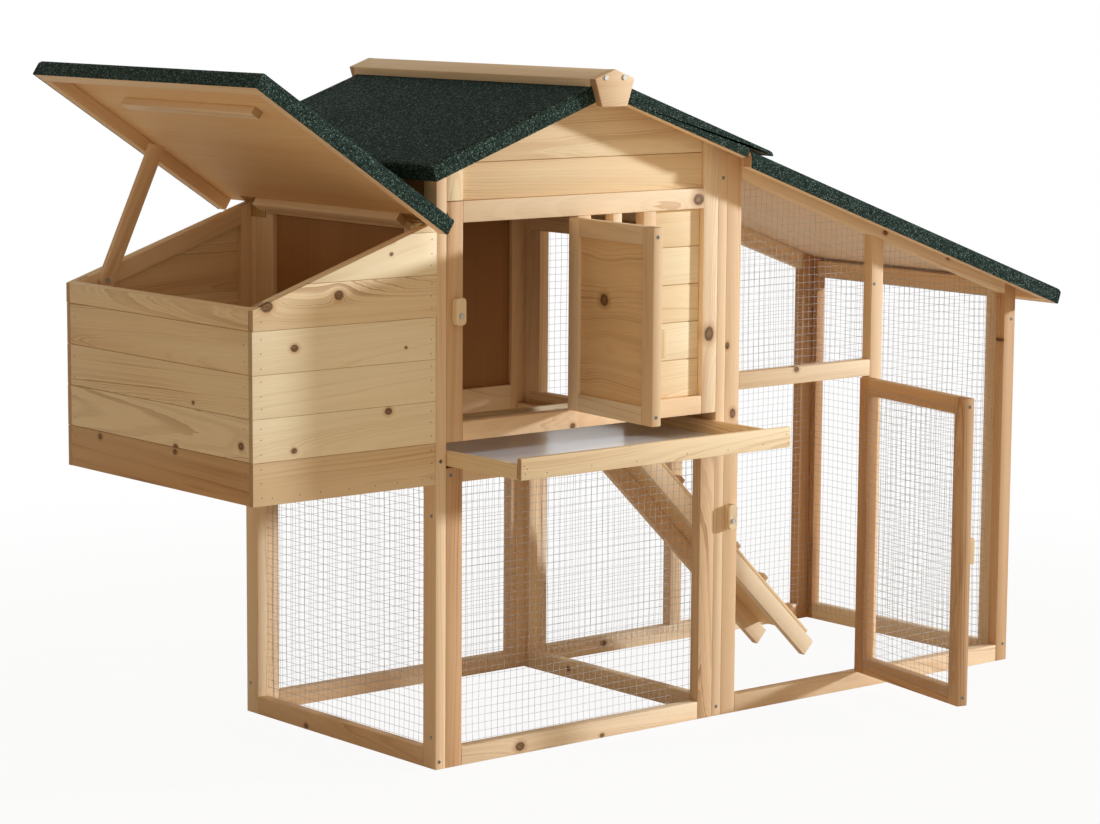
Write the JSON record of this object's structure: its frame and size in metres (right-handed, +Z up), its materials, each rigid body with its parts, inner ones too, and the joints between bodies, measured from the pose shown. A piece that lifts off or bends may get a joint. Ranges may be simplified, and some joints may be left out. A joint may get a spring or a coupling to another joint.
{
  "type": "wooden chicken coop with run",
  "caption": "Pine hen house on legs with a lean-to mesh run, hinged doors, pull-out tray, ramp, felt roofs and a side nest box under a propped lid.",
  "frame": {"origin": "on the ground, at the middle of the underside of the partition's bottom rail", "axes": "+X along the front towards the run's end, +Y from the front to the back, +Z up"},
  "size_m": [1.742, 0.8822, 1.0906],
  "materials": {
    "pine_frame": "planed, unpainted",
    "pine_boards": "planed, unpainted",
    "pine_ply": "planed sheet",
    "pine_small": "planed",
    "roof_felt": "mineral-grained bitumen felt",
    "wire_mesh": "galvanised",
    "tray_sheet": "white coated sheet",
    "hinge_steel": "brass plated",
    "screw_steel": "zinc plated"
  },
  "bodies": {
    "coop": {"back_frame": "pine_frame", "back_gable_boards": "pine_boards", "back_mesh": "wire_mesh", "back_wall_sheet": "pine_ply", "front_gable_boards": "pine_boards", "front_lower_frame": "pine_frame", "front_lower_mesh": "wire_mesh", "front_siding": "pine_boards", "front_upper_frame": "pine_frame", "hinge_fixed_leaves": "hinge_steel", "left_side_frame": "pine_frame", "left_side_mesh": "wire_mesh", "left_wall_sheet": "pine_ply", "nest_back_boards": "pine_boards", "nest_battens": "pine_frame", "nest_floor": "pine_ply", "nest_front_boards": "pine_boards", "nest_left_boards": "pine_boards", "partition_boards": "pine_boards", "partition_frame": "pine_frame", "ramp_cleats": "pine_frame", "ramp_plank": "pine_ply", "ramp_stringers": "pine_frame", "ridge_cap_boards": "pine_boards", "ridge_end_blocks": "pine_frame", "roof_left_felt": "roof_felt", "roof_left_sheet": "pine_ply", "roof_right_felt": "roof_felt", "roof_right_sheet": "pine_ply", "roof_rims": "pine_frame", "round_head_screws": "screw_steel", "run_back_frame": "pine_frame", "run_back_mesh": "wire_mesh", "run_end_frame": "pine_frame", "run_end_mesh": "wire_mesh", "run_front_frame": "pine_frame", "run_front_mesh_side": "wire_mesh", "run_front_mesh_top": "wire_mesh", "run_roof_felt": "roof_felt", "run_roof_rims": "pine_frame", "run_roof_sheet": "pine_ply", "tray_runners": "pine_frame", "window_frame": "pine_frame"},
    "house_door": {"house_door_frame": "pine_frame", "house_door_handle": "pine_small", "house_door_leaves": "hinge_steel", "house_door_panel": "pine_ply"},
    "run_door": {"run_door_frame": "pine_frame", "run_door_handle": "pine_small", "run_door_leaves": "hinge_steel", "run_door_mesh": "wire_mesh"},
    "lid": {"lid_battens": "pine_frame", "lid_felt": "roof_felt", "lid_leaves": "hinge_steel", "lid_sheet": "pine_ply"},
    "prop": {"prop_stick": "pine_frame"},
    "tray": {"tray_boards": "pine_frame", "tray_sheet": "tray_sheet"},
    "house_latch": {"house_latch": "pine_small"},
    "run_latch": {"run_latch": "pine_small"}
  },
  "joints": [
    {"name": "house_door_hinge", "type": "hinge", "parent": "coop", "child": "house_door", "pos_m": [-0.31175, -0.2604, 0.698], "axis": [0, 0, 1], "range_deg": [-84.2, 80]},
    {"name": "run_door_hinge", "type": "hinge", "parent": "coop", "child": "run_door", "pos_m": [0.34925, -0.2604, 0.288], "axis": [0, 0, 1], "range_deg": [-78.7, 82]},
    {"name": "lid_hinge", "type": "hinge", "parent": "coop", "child": "lid", "pos_m": [-0.5974, 0, 0.8548], "axis": [0, 1, 0], "range_deg": [-51.8, 12]},
    {"name": "prop_fold", "type": "hinge", "parent": "coop", "child": "prop", "pos_m": [-0.878, 0.2295, 0.74355], "axis": [0, 1, 0], "range_deg": [-36.5, 156]},
    {"name": "tray_slide", "type": "slide", "parent": "coop", "child": "tray", "axis": [0, 1, 0], "range_m": [-0.12, 0.178]},
    {"name": "house_latch_turn", "type": "hinge", "parent": "coop", "child": "house_latch", "pos_m": [-0.55448, -0.2635, 0.71], "axis": [0, 1, 0], "range_deg": [-90, 90]},
    {"name": "run_latch_turn", "type": "hinge", "parent": "coop", "child": "run_latch", "pos_m": [0.022, -0.2635, 0.33], "axis": [0, 1, 0], "range_deg": [-90, 90]}
  ],
  "couplings": [
    {"joint": "prop_fold", "follows": "lid_hinge", "ratio": -3}
  ]
}
